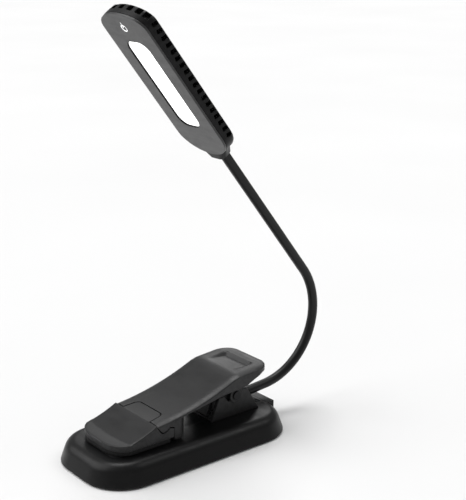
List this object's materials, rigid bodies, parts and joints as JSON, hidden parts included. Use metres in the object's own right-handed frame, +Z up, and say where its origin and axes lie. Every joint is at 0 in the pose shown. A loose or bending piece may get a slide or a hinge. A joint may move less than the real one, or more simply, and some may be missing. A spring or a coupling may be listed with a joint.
{
  "type": "clip-on reading lamp",
  "caption": "Cordless reading lamp: flat lit head on a gooseneck that rises from a weighted base, whose sprung lever makes it a clip.",
  "frame": {"origin": "centre of the base's underside, on the surface the lamp stands on", "axes": "+Z up, -X towards the nose of the clip, +X towards the gooseneck and the charging port; symmetric about y = 0"},
  "size_m": [0.1583, 0.061, 0.2255],
  "materials": {
    "ballast_plate": "bare steel plate",
    "base_plastic": "fine matt black texture",
    "battery_cell": "foil pouch with film",
    "battery_leads": "wire insulation",
    "bracket_plastic": "matt black",
    "circuit_board": "green solder mask",
    "diffuser": "opal, lit from behind",
    "face_plastic": "fine matt grey",
    "head_plastic": "satin black",
    "led_chips": "phosphor",
    "lever_plastic": "fine matt charcoal texture",
    "neck_sleeve": "satin black silicone sleeve",
    "power_icon": "white print, lit",
    "rubber": "matt black rubber",
    "status_lens": "clear light pipe",
    "steel": "plain zinc-coated steel",
    "usb_port": "nickel-plated shell",
    "white_plastic": "matt white"
  },
  "bodies": {
    "base": {"foot_pad": "rubber", "base_cover": "base_plastic", "cover_screws": "steel", "base_shell": "base_plastic", "ballast_plate": "ballast_plate", "battery_cell": "battery_cell", "battery_leads": "battery_leads", "charge_board": "circuit_board", "usb_port": "usb_port", "status_lens": "status_lens", "lower_jaw_pad": "rubber", "hinge_bracket": "bracket_plastic", "bracket_screws": "steel", "hinge_pin": "steel", "pin_clip": "steel", "torsion_spring": "steel", "neck_ferrule": "steel", "neck_root": "neck_sleeve", "core_root": "steel"},
    "lever": {"lever_shell": "lever_plastic", "lever_frame": "bracket_plastic", "frame_screws": "steel", "jaw_nose": "lever_plastic", "nose_screws": "steel", "upper_jaw_pad": "rubber"},
    "neck_1": {"neck_link_1": "neck_sleeve", "core_link_1": "steel"},
    "neck_2": {"neck_link_2": "neck_sleeve", "core_link_2": "steel"},
    "neck_3": {"neck_link_3": "neck_sleeve", "core_link_3": "steel"},
    "neck_4": {"neck_link_4": "neck_sleeve", "core_link_4": "steel"},
    "neck_5": {"neck_link_5": "neck_sleeve", "core_link_5": "steel"},
    "neck_6": {"neck_link_6": "neck_sleeve", "core_link_6": "steel"},
    "neck_7": {"neck_link_7": "neck_sleeve", "core_link_7": "steel"},
    "neck_8": {"neck_link_8": "neck_sleeve", "core_link_8": "steel"},
    "neck_9": {"neck_link_9": "neck_sleeve", "core_link_9": "steel"},
    "head": {"neck_top": "neck_sleeve", "core_top": "steel", "neck_clamp": "steel", "head_shell": "head_plastic", "face_plate": "face_plastic", "diffuser": "diffuser", "light_frame": "white_plastic", "led_board": "white_plastic", "led_chips": "led_chips", "touch_board": "circuit_board", "power_icon": "power_icon", "head_screws": "steel"}
  },
  "joints": [
    {"name": "lever_hinge", "type": "hinge", "parent": "base", "child": "lever", "pos_m": [0.0303, 0, 0.0232], "axis": [0, 1, 0], "range_deg": [0, 28], "stiffness_Nm_per_rad": 0.4, "springref_deg": -51.57, "deforming": ["torsion_spring"]},
    {"name": "neck_pitch_1", "type": "hinge", "parent": "base", "child": "neck_1", "pos_m": [0.05028, 0, 0.01645], "axis": [0, 1, 0], "range_deg": [-9, 9]},
    {"name": "neck_side_1", "type": "hinge", "parent": "neck_1", "child": "neck_2", "pos_m": [0.06105, 0, 0.01732], "axis": [-0.0802, 0, 0.9968], "range_deg": [-9, 9]},
    {"name": "neck_pitch_2", "type": "hinge", "parent": "neck_2", "child": "neck_3", "pos_m": [0.07983, 0, 0.02415], "axis": [0, 1, 0], "range_deg": [-9, 9]},
    {"name": "neck_side_2", "type": "hinge", "parent": "neck_3", "child": "neck_4", "pos_m": [0.09249, 0, 0.03962], "axis": [-0.9143, 0, 0.4051], "range_deg": [-9, 9]},
    {"name": "neck_pitch_3", "type": "hinge", "parent": "neck_4", "child": "neck_5", "pos_m": [0.09545, 0, 0.05939], "axis": [0, 1, 0], "range_deg": [-9, 9]},
    {"name": "neck_side_3", "type": "hinge", "parent": "neck_5", "child": "neck_6", "pos_m": [0.08789, 0, 0.0779], "axis": [-0.7923, 0, -0.6101], "range_deg": [-9, 9]},
    {"name": "neck_pitch_4", "type": "hinge", "parent": "neck_6", "child": "neck_7", "pos_m": [0.0767, 0, 0.09243], "axis": [0, 1, 0], "range_deg": [-9, 9]},
    {"name": "neck_side_4", "type": "hinge", "parent": "neck_7", "child": "neck_8", "pos_m": [0.06551, 0, 0.10696], "axis": [-0.7923, 0, -0.6101], "range_deg": [-9, 9]},
    {"name": "neck_pitch_5", "type": "hinge", "parent": "neck_8", "child": "neck_9", "pos_m": [0.05432, 0, 0.12149], "axis": [0, 1, 0], "range_deg": [-9, 9]},
    {"name": "neck_side_5", "type": "hinge", "parent": "neck_9", "child": "head", "pos_m": [0.04313, 0, 0.13602], "axis": [-0.7923, 0, -0.6101], "range_deg": [-9, 9]}
  ],
  "couplings": [
    {"joint": "neck_pitch_2", "follows": "neck_pitch_1", "ratio": 1},
    {"joint": "neck_side_2", "follows": "neck_side_1", "ratio": 1},
    {"joint": "neck_pitch_3", "follows": "neck_pitch_1", "ratio": 1},
    {"joint": "neck_side_3", "follows": "neck_side_1", "ratio": 1},
    {"joint": "neck_pitch_4", "follows": "neck_pitch_1", "ratio": 1},
    {"joint": "neck_side_4", "follows": "neck_side_1", "ratio": 1},
    {"joint": "neck_pitch_5", "follows": "neck_pitch_1", "ratio": 1},
    {"joint": "neck_side_5", "follows": "neck_side_1", "ratio": 1}
  ]
}
